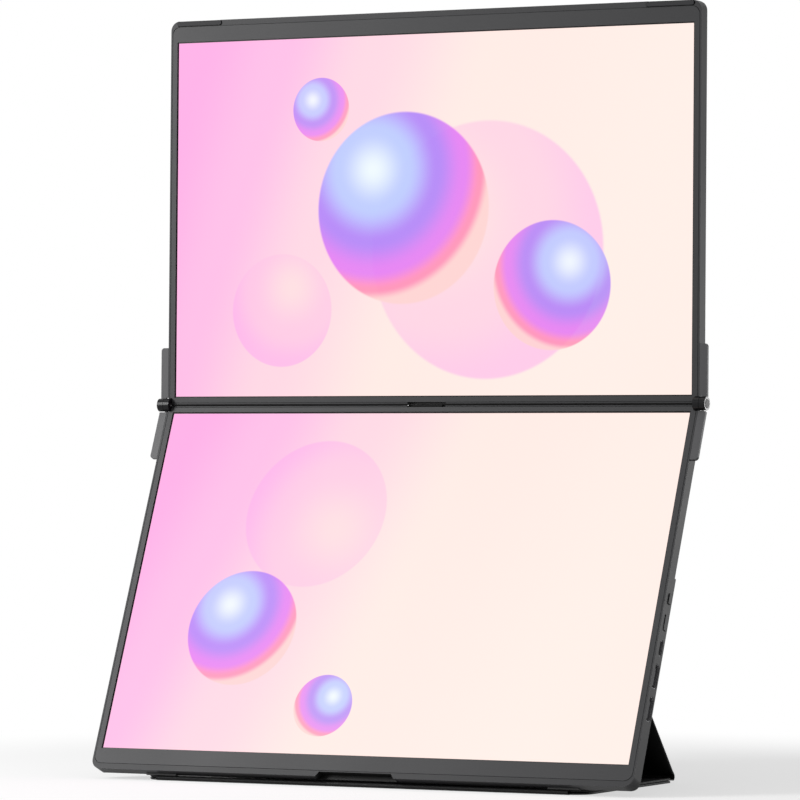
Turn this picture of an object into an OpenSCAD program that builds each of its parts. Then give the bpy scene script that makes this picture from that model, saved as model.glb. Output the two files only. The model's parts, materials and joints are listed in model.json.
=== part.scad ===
/* [Display] */
// Width of the lit picture area
screen_w = 344.7; // [300:0.1:420]
// Height of the lit picture area
screen_h = 215.4; // [200:0.1:260]
// Frame width beside the picture, left and right
side_margin = 5.15; // [5.15:0.05:9]
// Frame width between the picture and the seam
seam_margin = 5; // [5:0.1:8]
// Frame width between the picture and the far edge
far_margin = 13.5; // [12:0.1:20]
// Width of the shell's own strip along the far edge
far_strip = 3.4; // [3.2:0.1:5]
// Thickness of one display
panel_t = 8; // [7.8:0.1:12]
// Radius of the two far corners of a display
corner_r = 6; // [5:0.5:9]
// Radius of the long rear edge at the far side
edge_r = 2.5; // [1.5:0.1:3]
// Thickness of the rear shell's back wall
back_wall = 1.2; // [0.8:0.1:1.4]
// Thickness of the front frame
bezel_t = 0.8; // [0.6:0.1:1]

/* [Stance] */
// Backward lean of the lower display in degrees
lower_lean = 22.9; // [16:0.1:28]
// Backward lean of the upper display in degrees
upper_lean = 1; // [0:0.1:10]

/* [Sockets and keys] */
// Extra thickness of the lower display's socket zone
socket_step = 1.6; // [1.6:0.1:3]
// Height of the socket zone above the bottom edge
socket_zone = 129; // [129:1:140]
// Middle of the lower video socket above the bottom edge
video_low_up = 48.4; // [46:0.1:48.8]
// Middle of the upper video socket above the bottom edge
video_high_up = 68.2; // [67.4:0.1:69]
// Middle of the round-ended socket above the bottom edge
usb_up = 85.4; // [85:0.1:86.5]
// Middle of the rocker key above the bottom edge
rocker_up = 100.8; // [99.5:0.1:102]
// Middle of the power button above the bottom edge
button_up = 115.4; // [113.5:0.1:117]
// Travel of the power button
button_travel = 0.5; // [0.3:0.1:0.7]

/* [Hinge] */
// Radius of the hinge barrel
barrel_r = 4; // [3:0.1:4.2]
// Radius of the hinge pin
pin_r = 1.5; // [1:0.1:1.8]
// Distance of the hinge axis in front of the display faces
axis_ahead = 0.55; // [0.45:0.05:0.8]
// Gap between the two displays at the seam
seam_gap = 0.4; // [0.4:0.1:1]
// Width of a hinge leaf beyond the side of the display
wing_w = 4.95; // [4.5:0.05:7]
// Length of a hinge leaf
wing_len = 30.3; // [24:0.1:40]
// Thickness of a hinge leaf
leaf_t = 2; // [1.8:0.1:2.4]

/* [Folding cover] */
// Width of the cover
cover_w = 290; // [230:1:294]
// Thickness of one flap
flap_t = 1.3; // [1.2:0.1:2]
// Length of the leg from the rear fold to the top fold
leg_len = 119; // [114:0.5:140]
// Height of the top fold above the display's bottom edge
fold_up = 101; // [88:0.5:108]
// Space between two flaps that lie on each other
flap_gap = 0.2; // [0.15:0.05:0.4]
// Distance of the front fold ahead of the rubber feet's lowest line
front_reach = 1.6; // [1:0.1:4]

/* [Hidden] */
$fn = 64;
// Clearances
fit_gap = 0.1;
groove = 0.25;
pin_gap = 0.05;
skim = 0.3;
bond = 0.02;
through = 1;

// One display, seen in its own frame: x to the right, y backwards from the hinge axis,
// z away from the seam. The front face lies at y = face_y.
rim = 1;
wall = 2.2;
half_w = screen_w / 2 + side_margin;
panel_h = screen_h + seam_margin + far_margin;
face_y = axis_ahead;
seam_z = seam_gap / 2;
far_z = seam_z + panel_h;
back_y = face_y + panel_t;
socket_y = back_y + socket_step;
zone_z = far_z - socket_zone;
bezel_y = face_y + bezel_t;
barrel_room = 2.8;

// Picture window and the stack of sheets behind it
black_edge = 0.7;
picture_z = seam_z + seam_margin;
window_x = screen_w / 2 + black_edge;
window_z0 = picture_z - black_edge;
window_z1 = picture_z + screen_h + black_edge;
cell_border = 0.5;
cell_x = window_x + cell_border;
cell_z0 = window_z0 - cell_border;
cell_z1 = window_z1 + 1.1;
tray_wall = 0.4;
tray_x = cell_x + fit_gap + tray_wall;
tray_z0 = cell_z0 - fit_gap - tray_wall;
tray_z1 = cell_z1 + fit_gap + tray_wall;
cell_y0 = bezel_y + bond;
cell_t = 0.7;
film_t = 0.3;
guide_t = 0.6;
film_y = cell_y0 + cell_t + bond;
guide_y = film_y + film_t + bond;
tray_y = guide_y + guide_t + bond;
tray_back_y = tray_y + tray_wall;
led_h = 1.6;
sheet_inset = 0.3;

// Driver board behind the far margin, and the flat cables
board_t = 0.8;
driver_w = 250;
driver_h = 6.4;
driver_y0 = tray_back_y + 0.1;
driver_z1 = far_z - far_strip - 1.8;
flex_w = 20;
flex_t = 0.2;
flex_y0 = tray_back_y + 0.1;
flex_slot = 0.5;

// Slot at the middle of the seam, with the cable sleeve in it
slot_w = 25.6;
slot_h = 1.4;
slot_depth = 2.6;
sleeve_w = 20.8;
sleeve_y0 = face_y + 0.5;
sleeve_y1 = face_y + 1.5;
sleeve_down = 1;
sleeve_up = 0.5;
sleeve_web_y = sleeve_y1 + 0.4;
sleeve_web_up = 1;
seal_end = barrel_room + skim;
seal_bead_r = axis_ahead - 0.1;
seal_depth = 2.5;
lower_riser_z = 0.7;
upper_riser_z = 1.45;

// Hinge leaves
leaf_gap = 0.1;
wing_x = half_w + wing_w;
leaf_z0 = barrel_r + 0.5;
leaf_z1 = leaf_z0 + wing_len;
wing_corner_r = 2;
tab_in = 3;
tab_y0 = bezel_y + fit_gap;
leaf_back_y = face_y + leaf_t;
knuckle_x0 = half_w - barrel_room + skim;
knuckle_x1 = wing_x + 0.45;
knuckle_gap = 0.2;
knuckle_mid = (knuckle_x0 + knuckle_x1) / 2;
washer_t = 0.16;
washer_r = barrel_r - 0.8;
pin_head_r = pin_r + 1.1;
pin_head_t = 0.25;
screw_r = 0.7;
screw_head_r = 1.15;
screw_head_t = 0.45;
screw_len = 3.2;
leaf_screw_x = half_w - 1.2;
leaf_screw_inset = 6;

// Rubber bumpers on the upper display's far strip
bumper_x0 = half_w - 35.2;
bumper_x1 = half_w - corner_r + 1.3;
bumper_h = 2.6;
bumper_proud = axis_ahead + 0.15;
bumper_seat = 0.8;
bumper_groove = 0.45;
bumper_z = far_z - far_strip / 2;

// Finger notch in the lower display's far strip
notch_w = 53;
notch_slope = 3;
notch_h = 2.8;
notch_depth = 5.5;

// Rubber feet on the lower display's bottom face
foot_x0 = half_w - 55.5;
foot_x1 = half_w - 35.5;
foot_y0 = face_y + 5.7;
foot_seat = 0.6;
foot_proud = 0.9;
foot_lift = 0.4;

// Sockets
socket_mid_y = (tray_back_y + socket_y - back_wall) / 2;
metal_t = 0.3;
video_w = 14;
video_h = 4.5;
video_corner = 1.4;
video_len = 11;
usb_w = 8.9;
usb_h = 3.2;
usb_len = 8;
socket_recess = 0.3;
video_tongue_t = 1.9;
usb_tongue_t = 0.7;
mouth_inset = 1;
ear_w = 1.6;
ear_len = 3;

// Main board, its parts and its bosses
main_x0 = half_w - 78;
main_x1 = half_w - 4.6;
main_z1 = far_z - video_low_up + 16;
main_z0 = far_z - button_up - 10;
main_y1 = socket_y - back_wall - 1;
main_y0 = main_y1 - board_t;
boss_r = 2.4;
boss_inset = 4;
board_screw_len = 1.5;
chip_t = 1.1;

// Keys
button_len = 6;
button_h = 3;
button_proud = 0.6;
flange_t = 0.8;
flange_lip = 0.5;
rocker_len = 9;
rocker_h = 3;
rocker_proud = 0.4;
rocker_depth = 2.1;
rocker_slack = 0.25;
rocker_pin_r = 0.5;
rocker_pin_x = half_w - 1.3;
rocker_pin_seat = 0.8;
switch_x1 = half_w - wall - flange_t - fit_gap - button_travel - 0.2;
switch_len = 2.2;

// Cover
skin_t = 0.4;
lining_t = 0.4;
core_t = flap_t - skin_t - lining_t;
core_inset = 2;
stack_h = 2 * flap_t + flap_gap;
fold_skim = 0.3;
fold_out = 0.2;
rear_roll_r = stack_h;
front_roll_r = stack_h / 2;
cover_corner_r = 10;
plate_gap = 0.2;
plate_top_gap = 12;
magnet_w = 60;
magnet_h = 12;
magnet_t = 1;
magnet_pitch = 90;
magnet_cover = 0.3;
pad_inset = 6;

// Placing: the lower display stands on its feet, the feet stand on the folded cover
far_low = (socket_y * sin(lower_lean) + far_z * cos(lower_lean))
    - edge_r * (sin(lower_lean) + cos(lower_lean) - 1);
hinge_z = stack_h + foot_lift + far_low;
foot_line_y = (socket_y - edge_r) * cos(lower_lean) - (far_z - edge_r) * sin(lower_lean);
top_fold_out = plate_gap + flap_t + fold_out;
top_fold_y = (socket_y + top_fold_out) * cos(lower_lean) - (far_z - fold_up) * sin(lower_lean);
top_fold_z = hinge_z
    - (socket_y + top_fold_out) * sin(lower_lean) - (far_z - fold_up) * cos(lower_lean);
front_fold_dy = foot_line_y - front_reach;
// The leg's outer face touches the rear roll, so the top fold lies further out than the roll
leg_shift = rear_roll_r + fold_out;
leg_angle = asin((top_fold_z - rear_roll_r) / sqrt(leg_len * leg_len + leg_shift * leg_shift))
    - atan(leg_shift / leg_len);
rear_fold_dy = top_fold_y + leg_len * cos(leg_angle) - leg_shift * sin(leg_angle);

// Bounds front to back, so that the origin is under the middle of the whole object
bottom_front_y = face_y * cos(lower_lean) - far_z * sin(lower_lean);
front_y = min(bottom_front_y, front_fold_dy);
rear_y = rear_fold_dy + rear_roll_r;
hinge_y = -(front_y + rear_y) / 2;
front_fold_y = hinge_y + front_fold_dy;
rear_fold_y = hinge_y + rear_fold_dy;

// ---- Helpers ----

// Box between two corners
module span(lo, hi) {
    translate(lo) cube(hi - lo);
}

// Flat shape drawn in x and z, made into a slab from y0 to y1
module slab(y0, y1) {
    translate([0, y1, 0]) rotate([90, 0, 0]) linear_extrude(y1 - y0) children();
}

// Flat shape drawn in y and z, made into a bar from x0 to x1
module bar(x0, x1) {
    translate([x0, 0, 0]) rotate([90, 0, 90]) linear_extrude(x1 - x0) children();
}

// Rectangle between two corners
module rect(lo, hi) {
    translate(lo) square(hi - lo);
}

// Rod along x
module rod_x(x0, x1, r) {
    translate([x0, 0, 0]) rotate([0, 90, 0]) cylinder(h = x1 - x0, r = r);
}

// Rod along y
module rod_y(x, y0, y1, z, r) {
    translate([x, y1, z]) rotate([90, 0, 0]) cylinder(h = y1 - y0, r = r);
}

// Rectangle with its two far corners rounded
module far_rounded(x, z0, z1, r) {
    rect([-x, z0], [x, z1 - r]);
    rect([-x + r, z0], [x - r, z1]);
    for (side = [-1, 1]) {
        translate([side * (x - r), z1 - r]) circle(r);
    }
}

// Rectangle with four rounded corners, centred
module pill(w, h, r) {
    square([w - 2 * r, h], center = true);
    square([w, h - 2 * r], center = true);
    for (a = [-1, 1], b = [-1, 1]) {
        translate([a * (w / 2 - r), b * (h / 2 - r)]) circle(r);
    }
}

// Puts a display's own frame in the upper place
module on_upper() {
    translate([0, hinge_y, hinge_z]) rotate([-upper_lean, 0, 0]) children();
}

// Puts a display's own frame in the lower place, upside down below the seam
module on_lower() {
    translate([0, hinge_y, hinge_z]) rotate([-lower_lean, 0, 0]) mirror([0, 0, 1]) children();
}

// The same thing on the left side
module on_left() {
    mirror([1, 0, 0]) children();
}

// ---- Display shells ----

// Outline of a display from the front
module panel_outline() {
    far_rounded(half_w, seam_z, far_z, corner_r);
}

// Side view of a display whose back lies at rear, with a rounded far edge
module side_profile(z0, rear) {
    rect([face_y, z0], [rear - edge_r, far_z]);
    rect([face_y, z0], [rear, far_z - edge_r]);
    translate([rear - edge_r, far_z - edge_r]) circle(edge_r);
}

// Room inside a shell behind the front frame, down to the back wall
module shell_room(z0, rear) {
    span(
        [-half_w + wall, bezel_y - fit_gap, z0],
        [half_w - wall, rear - back_wall, far_z - far_strip - 1.3]
    );
}

// Seat of the front frame
module bezel_seat() {
    slab(face_y - through, bezel_y)
        far_rounded(half_w - rim, seam_z + rim, far_z - far_strip, corner_r - rim);
}

// Room for the hinge leaf's tab and its screws in the right side wall
module leaf_pocket() {
    span(
        [half_w - tab_in - fit_gap, bezel_y - fit_gap, leaf_z0 - fit_gap],
        [half_w + through, leaf_back_y + fit_gap, leaf_z1 + fit_gap]
    );
    for (z = leaf_screw_places()) {
        rod_y(leaf_screw_x, bezel_y, bezel_y + screw_len + fit_gap, z, screw_r + pin_gap);
    }
}

// Round room for both barrels at the corners of the seam
module barrel_rooms() {
    for (side = [0, 1]) {
        mirror([side, 0, 0]) rod_x(half_w - barrel_room, half_w + through, barrel_r + skim);
    }
}

// Slot at the middle of the seam, and the way into the shell for the flat cable
module seam_slot() {
    span(
        [-slot_w / 2, face_y - through, -slot_h],
        [slot_w / 2, face_y + slot_depth, slot_h]
    );
    span(
        [-flex_w / 2 - flex_slot, face_y + bezel_t + fit_gap, 0],
        [flex_w / 2 + flex_slot, flex_y0 + flex_t + flex_slot, slot_h + flex_slot]
    );
    span(
        [-flex_w / 2 - flex_slot, tray_back_y, 0],
        [flex_w / 2 + flex_slot, flex_y0 + flex_t + flex_slot, wall + through]
    );
}

module upper_rear_shell() {
    color([0.26, 0.26, 0.27]) on_upper() difference() {
        intersection() {
            slab(face_y, back_y) panel_outline();
            bar(-half_w, half_w) side_profile(seam_z, back_y);
        }
        bezel_seat();
        shell_room(seam_z + wall, back_y);
        leaf_pocket();
        on_left() leaf_pocket();
        barrel_rooms();
        seam_slot();
        bumper_seats();
    }
}

module lower_rear_shell() {
    color([0.24, 0.24, 0.25]) on_lower() difference() {
        intersection() {
            slab(face_y, socket_y) panel_outline();
            bar(-half_w, half_w) union() {
                rect([face_y, seam_z], [back_y, far_z - 2 * edge_r]);
                side_profile(zone_z, socket_y);
            }
        }
        bezel_seat();
        shell_room(seam_z + wall, back_y);
        shell_room(zone_z + back_wall, socket_y);
        leaf_pocket();
        on_left() leaf_pocket();
        barrel_rooms();
        seam_slot();
        finger_notch();
        foot_recess();
        on_left() foot_recess();
        socket_holes();
        key_holes();
    }
    color([0.24, 0.24, 0.25]) on_lower() difference() {
        for (p = boss_places()) {
            rod_y(p[0], main_y1, socket_y - back_wall + skim, p[1], boss_r);
        }
        for (p = boss_places()) {
            rod_y(p[0], main_y1 - through, socket_y - back_wall, p[1], screw_r + pin_gap);
        }
    }
}

// Notch that a finger opens the pair with
module finger_notch() {
    slab(face_y - through, face_y + notch_depth)
        polygon([
            [-notch_w / 2, far_z + through],
            [-notch_w / 2 + notch_slope, far_z - notch_h],
            [notch_w / 2 - notch_slope, far_z - notch_h],
            [notch_w / 2, far_z + through]
        ]);
}

// ---- Front frame and picture sheets ----

module bezel() {
    difference() {
        slab(face_y, bezel_y) difference() {
            far_rounded(
                half_w - rim - groove, seam_z + rim + groove,
                far_z - far_strip - groove, corner_r - rim
            );
            rect([-window_x, window_z0], [window_x, window_z1]);
            rect([-slot_w / 2, 0], [slot_w / 2, slot_h]);
        }
        barrel_rooms();
    }
}

module lcd_cell() {
    span([-cell_x, cell_y0, cell_z0], [cell_x, cell_y0 + cell_t, cell_z1]);
}

module optical_films() {
    span(
        [-cell_x + sheet_inset, film_y, cell_z0 + sheet_inset],
        [cell_x - sheet_inset, guide_y - bond, cell_z1 - sheet_inset]
    );
}

module light_guide() {
    span(
        [-cell_x + sheet_inset, guide_y, cell_z0 + sheet_inset],
        [cell_x - sheet_inset, tray_y - bond, cell_z1 - led_h - 2 * fit_gap]
    );
}

module led_strip() {
    span(
        [-cell_x + sheet_inset, guide_y, cell_z1 - led_h],
        [cell_x - sheet_inset, tray_y - bond, cell_z1]
    );
}

module lcd_tray() {
    difference() {
        span([-tray_x, bezel_y + bond, tray_z0], [tray_x, tray_back_y, tray_z1]);
        span(
            [-tray_x + tray_wall, bezel_y - through, tray_z0 + tray_wall],
            [tray_x - tray_wall, tray_y, tray_z1 - tray_wall]
        );
    }
}

module driver_board() {
    span(
        [-driver_w / 2, driver_y0, driver_z1 - driver_h],
        [driver_w / 2, driver_y0 + board_t, driver_z1]
    );
}

// Flat cable from the seam slot along the back of the tray to z_end
module flex_cable(x, riser_y, riser_z, z_end) {
    span([x - flex_w / 2, riser_y, riser_z], [x + flex_w / 2, flex_y0 + flex_t, riser_z + flex_t]);
    span([x - flex_w / 2, flex_y0, riser_z], [x + flex_w / 2, flex_y0 + flex_t, z_end]);
}

module upper_bezel() { color([0.3, 0.3, 0.31]) on_upper() bezel(); }
module lower_bezel() { color([0.3, 0.3, 0.31]) on_lower() bezel(); }
module upper_lcd_cell() { color([0.97, 0.85, 0.86]) on_upper() lcd_cell(); }
module lower_lcd_cell() { color([0.98, 0.87, 0.86]) on_lower() lcd_cell(); }
module upper_optical_films() { color([0.9, 0.9, 0.92]) on_upper() optical_films(); }
module lower_optical_films() { color([0.9, 0.9, 0.92]) on_lower() optical_films(); }
module upper_light_guide() { color([0.82, 0.9, 0.95]) on_upper() light_guide(); }
module lower_light_guide() { color([0.82, 0.9, 0.95]) on_lower() light_guide(); }
module upper_led_strip() { color([0.95, 0.9, 0.6]) on_upper() led_strip(); }
module lower_led_strip() { color([0.95, 0.9, 0.6]) on_lower() led_strip(); }
module upper_lcd_tray() { color([0.7, 0.7, 0.72]) on_upper() lcd_tray(); }
module lower_lcd_tray() { color([0.7, 0.7, 0.72]) on_lower() lcd_tray(); }
module upper_driver_board() { color([0.1, 0.35, 0.2]) on_upper() driver_board(); }
module lower_driver_board() { color([0.1, 0.35, 0.2]) on_lower() driver_board(); }

module upper_flex_cable() {
    color([0.8, 0.5, 0.2]) on_upper()
        flex_cable(0, face_y + bezel_t + 2 * fit_gap, upper_riser_z, driver_z1 - driver_h - fit_gap);
}

module lower_flex_cable() {
    color([0.8, 0.5, 0.2]) on_lower()
        flex_cable(0, sleeve_web_y, lower_riser_z, driver_z1 - driver_h - fit_gap);
}

// Sleeve over the cable where it crosses the seam, with a web that closes the slot
module seam_cable_sleeve() {
    color([0.36, 0.36, 0.37]) on_lower()
        union() {
            bar(-sleeve_w / 2, sleeve_w / 2)
                rect([sleeve_y0, -sleeve_up], [sleeve_web_y, sleeve_down]);
            bar(-slot_w / 2 + skim, slot_w / 2 - skim)
                rect([sleeve_y1, -sleeve_web_up], [sleeve_web_y, sleeve_down]);
        }
}

// Rubber strips along the seam, each with a bead that closes the gap in front
module seam_seal() {
    color([0.05, 0.05, 0.05]) on_lower() {
        seal_strip();
        on_left() seal_strip();
    }
}

module seal_strip() {
    bar(slot_w / 2 + skim, half_w - seal_end) {
        rect([0, 0], [face_y + seal_depth, seam_z - bond]);
        difference() {
            circle(seal_bead_r);
            rect([0, seam_z - bond], [through, through]);
        }
    }
}

// ---- Hinges ----

function leaf_screw_places() = [leaf_z0 + leaf_screw_inset, leaf_z1 - leaf_screw_inset];

// Right leaf with a knuckle from x0 to x1 whose bore has the radius bore
module hinge_leaf(x0, x1, bore) {
    difference() {
        union() {
            slab(face_y, leaf_back_y) union() {
                rect([half_w + leaf_gap, leaf_z0], [wing_x, leaf_z1 - wing_corner_r]);
                rect([half_w + leaf_gap, leaf_z0], [wing_x - wing_corner_r, leaf_z1]);
                translate([wing_x - wing_corner_r, leaf_z1 - wing_corner_r]) circle(wing_corner_r);
            }
            span([half_w - tab_in, tab_y0, leaf_z0], [half_w + leaf_gap + skim, leaf_back_y, leaf_z1]);
            span(
                [max(x0, half_w + leaf_gap), face_y, barrel_r / 2],
                [min(x1, wing_x), leaf_back_y, leaf_z0 + skim]
            );
            rod_x(x0, x1, barrel_r);
        }
        rod_x(x0 - through, x1 + through, bore);
        for (z = leaf_screw_places()) {
            rod_y(leaf_screw_x, tab_y0 - through, leaf_back_y + through, z, screw_r + pin_gap);
            rod_y(leaf_screw_x, tab_y0 - through, tab_y0 + screw_head_t, z, screw_head_r + pin_gap);
        }
    }
}

// Pin fixed in the lower knuckle, with a thin head outside
module hinge_pin() {
    rod_x(knuckle_x0, knuckle_x1 + pin_head_t, pin_r);
    rod_x(knuckle_x1 + pin_gap, knuckle_x1 + pin_head_t, pin_head_r);
}

module friction_washer() {
    difference() {
        rod_x(knuckle_mid - washer_t / 2, knuckle_mid + washer_t / 2, washer_r);
        rod_x(knuckle_mid - washer_t, knuckle_mid + washer_t, pin_r + pin_gap);
    }
}

// Countersunk screws that hold one leaf
module leaf_screws() {
    for (z = leaf_screw_places()) {
        rod_y(leaf_screw_x, tab_y0 + fit_gap, tab_y0 + screw_head_t, z, screw_head_r);
        rod_y(leaf_screw_x, tab_y0 + fit_gap, tab_y0 + screw_len - fit_gap, z, screw_r);
    }
}

module upper_leaf() { hinge_leaf(knuckle_mid + knuckle_gap / 2, knuckle_x1, pin_r + pin_gap); }
module lower_leaf() { hinge_leaf(knuckle_x0, knuckle_mid - knuckle_gap / 2, pin_r); }

module upper_hinge_leaf_right() { color([0.36, 0.36, 0.37]) on_upper() upper_leaf(); }
module upper_hinge_leaf_left() { color([0.36, 0.36, 0.37]) on_upper() on_left() upper_leaf(); }
module lower_hinge_leaf_right() { color([0.36, 0.36, 0.37]) on_lower() lower_leaf(); }
module lower_hinge_leaf_left() { color([0.36, 0.36, 0.37]) on_lower() on_left() lower_leaf(); }
module hinge_pin_right() { color([0.08, 0.08, 0.08]) on_lower() hinge_pin(); }
module hinge_pin_left() { color([0.08, 0.08, 0.08]) on_lower() on_left() hinge_pin(); }

module friction_washers() {
    color([0.75, 0.75, 0.75]) on_lower() {
        friction_washer();
        on_left() friction_washer();
    }
}

module lower_leaf_screws() {
    color([0.2, 0.2, 0.2]) on_lower() {
        leaf_screws();
        on_left() leaf_screws();
    }
}

module upper_leaf_screws() {
    color([0.2, 0.2, 0.2]) on_upper() {
        leaf_screws();
        on_left() leaf_screws();
    }
}

// ---- Rubber pieces ----

// Bumper outline, grown all round by extra
module bumper_outline(extra) {
    translate([(bumper_x0 + bumper_x1) / 2, bumper_z])
        pill(bumper_x1 - bumper_x0 + 2 * extra, bumper_h + 2 * extra, bumper_h / 2 + extra - 0.01);
}

module bumper() {
    slab(face_y - bumper_proud, face_y + bumper_seat) bumper_outline(0);
}

module bumper_seats() {
    for (side = [0, 1]) {
        mirror([side, 0, 0]) slab(face_y - through, face_y + bumper_seat) bumper_outline(bumper_groove);
    }
}

module bumper_right() { color([0.16, 0.16, 0.17]) on_upper() bumper(); }
module bumper_left() { color([0.16, 0.16, 0.17]) on_upper() on_left() bumper(); }

// Recess of the right foot in the bottom face
module foot_recess() {
    span(
        [foot_x0 - fit_gap, foot_y0 - fit_gap, far_z - foot_seat],
        [foot_x1 + fit_gap, socket_y + through, far_z + through]
    );
}

// Right foot, cut level where it stands on the cover
module rubber_foot_right() {
    color([0.4, 0.4, 0.4]) intersection() {
        on_lower() bar(foot_x0, foot_x1)
            rect([foot_y0, far_z - foot_seat], [socket_y - edge_r / 2, far_z + foot_proud]);
        span(
            [foot_x0 - through, hinge_y + front_y, stack_h + bond],
            [foot_x1 + through, hinge_y, hinge_z]
        );
    }
}

module rubber_foot_left() {
    on_left() rubber_foot_right();
}

// ---- Sockets, boards and keys ----

// Places along the right side wall, x outwards, flat shape in y and z
module side_hole(x0, x1, up) {
    translate([x0, socket_mid_y, far_z - up]) rotate([0, 90, 0]) rotate([0, 0, 90])
        linear_extrude(x1 - x0) children();
}

// Opening of a video socket: a rectangle with two cut corners towards the back
module video_outline(grow) {
    w = video_w / 2 + grow;
    h = video_h / 2 + grow;
    polygon([
        [-h, -w], [h - video_corner, -w], [h, -w + video_corner],
        [h, w - video_corner], [h - video_corner, w], [-h, w]
    ]);
}

module usb_outline(grow) {
    pill(usb_h + 2 * grow, usb_w + 2 * grow, usb_h / 2 + grow - 0.01);
}

module socket_holes() {
    for (up = [video_low_up, video_high_up]) {
        side_hole(half_w - wall - through, half_w + through, up)
            video_outline(metal_t + fit_gap);
    }
    side_hole(half_w - wall - through, half_w + through, usb_up)
        usb_outline(metal_t + fit_gap);
}

// Metal sleeve of a socket, closed at its inner end, with ears on the board
module video_socket(up) {
    x1 = half_w - socket_recess;
    difference() {
        side_hole(x1 - video_len, x1, up) video_outline(metal_t);
        side_hole(x1 - video_len + 1, x1 + through, up) video_outline(0);
    }
    socket_ears(x1 - video_len, up, video_w / 2 + metal_t);
}

module usb_shell() {
    x1 = half_w - socket_recess;
    difference() {
        side_hole(x1 - usb_len, x1, usb_up) usb_outline(metal_t);
        side_hole(x1 - usb_len + 1, x1 + through, usb_up) usb_outline(0);
    }
    socket_ears(x1 - usb_len, usb_up, usb_w / 2 + metal_t);
}

// Two ears that lie on the board beside a socket of half width w
module socket_ears(x0, up, w) {
    for (side = [-1, 1]) {
        translate([x0 + 0.5, main_y0 - metal_t, far_z - up + side * (w + ear_w / 2) - ear_w / 2 - 0.1])
            cube([ear_len, metal_t, ear_w + 0.2]);
    }
}

module video_tongue(up) {
    x1 = half_w - socket_recess;
    translate([
        x1 - video_len + 1, socket_mid_y - video_tongue_t / 2,
        far_z - up - video_w / 2 + 2 * mouth_inset
    ])
        cube([video_len - 2, video_tongue_t, video_w - 4 * mouth_inset]);
}

module usb_socket() { color([0.75, 0.75, 0.77]) on_lower() usb_shell(); }
module video_socket_upper() { color([0.45, 0.46, 0.5]) on_lower() video_socket(video_high_up); }
module video_socket_lower() { color([0.45, 0.46, 0.5]) on_lower() video_socket(video_low_up); }

module usb_tongue() {
    x1 = half_w - socket_recess;
    color([0.1, 0.1, 0.1]) on_lower()
        translate([
            x1 - usb_len + 1, socket_mid_y - usb_tongue_t / 2,
            far_z - usb_up - usb_w / 2 + mouth_inset
        ])
            cube([usb_len - 2, usb_tongue_t, usb_w - 2 * mouth_inset]);
}

module video_tongues() {
    color([0.42, 0.43, 0.5]) on_lower() {
        video_tongue(video_high_up);
        video_tongue(video_low_up);
    }
}

function boss_places() = [
    for (x = [main_x0 + boss_inset, main_x1 - 20], z = [main_z0 + boss_inset, main_z1 - boss_inset])
        [x, z]
];

// Cut in the board round a sunk socket of half width w that reaches in by len
module board_notch(up, w, len) {
    span(
        [half_w - socket_recess - len - fit_gap, main_y0 - through, far_z - up - w - fit_gap],
        [half_w, main_y1 + through, far_z - up + w + fit_gap]
    );
}

module main_board() {
    color([0.08, 0.3, 0.18]) on_lower() difference() {
        span([main_x0, main_y0, main_z0], [main_x1, main_y1, main_z1]);
        board_notch(video_low_up, video_w / 2 + metal_t, video_len);
        board_notch(video_high_up, video_w / 2 + metal_t, video_len);
        board_notch(usb_up, usb_w / 2 + metal_t, usb_len);
        for (p = boss_places()) {
            rod_y(p[0], main_y0 - through, main_y1 + through, p[1], screw_r + fit_gap);
        }
    }
}

module main_board_chips() {
    color([0.07, 0.07, 0.08]) on_lower() {
        for (c = [[14, 30, 14], [36, 30, 9], [14, 62, 7], [34, 70, 12]]) {
            translate([main_x0 + c[0], main_y0 - chip_t, main_z0 + c[1]]) cube([c[2], chip_t, c[2]]);
        }
    }
}

module board_screws() {
    color([0.7, 0.7, 0.7]) on_lower() {
        for (p = boss_places()) {
            rod_y(p[0], main_y0 - screw_head_t, main_y0, p[1], screw_head_r + 0.6);
            rod_y(p[0], main_y0 - screw_head_t, main_y0 + board_screw_len, p[1], screw_r);
        }
    }
}

module key_holes() {
    side_hole(half_w - wall - through, half_w + through, button_up)
        square([button_h + 2 * fit_gap, button_len + 2 * fit_gap], center = true);
    side_hole(half_w - wall - through, half_w + through, rocker_up)
        square([rocker_h + 2 * fit_gap, rocker_len + 2 * rocker_slack], center = true);
    rod_y(
        rocker_pin_x, socket_mid_y - rocker_h / 2 - rocker_pin_seat,
        socket_mid_y + rocker_h / 2 + rocker_pin_seat, far_z - rocker_up, rocker_pin_r
    );
}

module power_button() {
    color([0.2, 0.2, 0.2]) on_lower() {
        side_hole(half_w - wall - fit_gap - flange_t, half_w + button_proud, button_up)
            square([button_h, button_len], center = true);
        side_hole(half_w - wall - fit_gap - flange_t, half_w - wall - fit_gap, button_up)
            square([button_h + 2 * flange_lip, button_len + 2 * flange_lip], center = true);
    }
}

module rocker_key() {
    color([0.2, 0.2, 0.2]) on_lower() difference() {
        side_hole(half_w - rocker_depth, half_w + rocker_proud, rocker_up)
            square([rocker_h, rocker_len], center = true);
        rod_y(
            rocker_pin_x, socket_mid_y - rocker_h, socket_mid_y + rocker_h,
            far_z - rocker_up, rocker_pin_r + pin_gap
        );
    }
}

module rocker_pin() {
    color([0.7, 0.7, 0.7]) on_lower()
        rod_y(
            rocker_pin_x, socket_mid_y - rocker_h / 2 - rocker_pin_seat,
            socket_mid_y + rocker_h / 2 + rocker_pin_seat, far_z - rocker_up, rocker_pin_r
        );
}

// Switches on the board behind the keys
module key_switches() {
    color([0.15, 0.15, 0.15]) on_lower() {
        for (z = [far_z - button_up, far_z - rocker_up - 2.8, far_z - rocker_up + 2.8]) {
            span([switch_x1 - switch_len, main_y0 - 2, z - 1.2], [switch_x1, main_y0, z + 1.2]);
        }
    }
}

// ---- Cover ----

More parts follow.
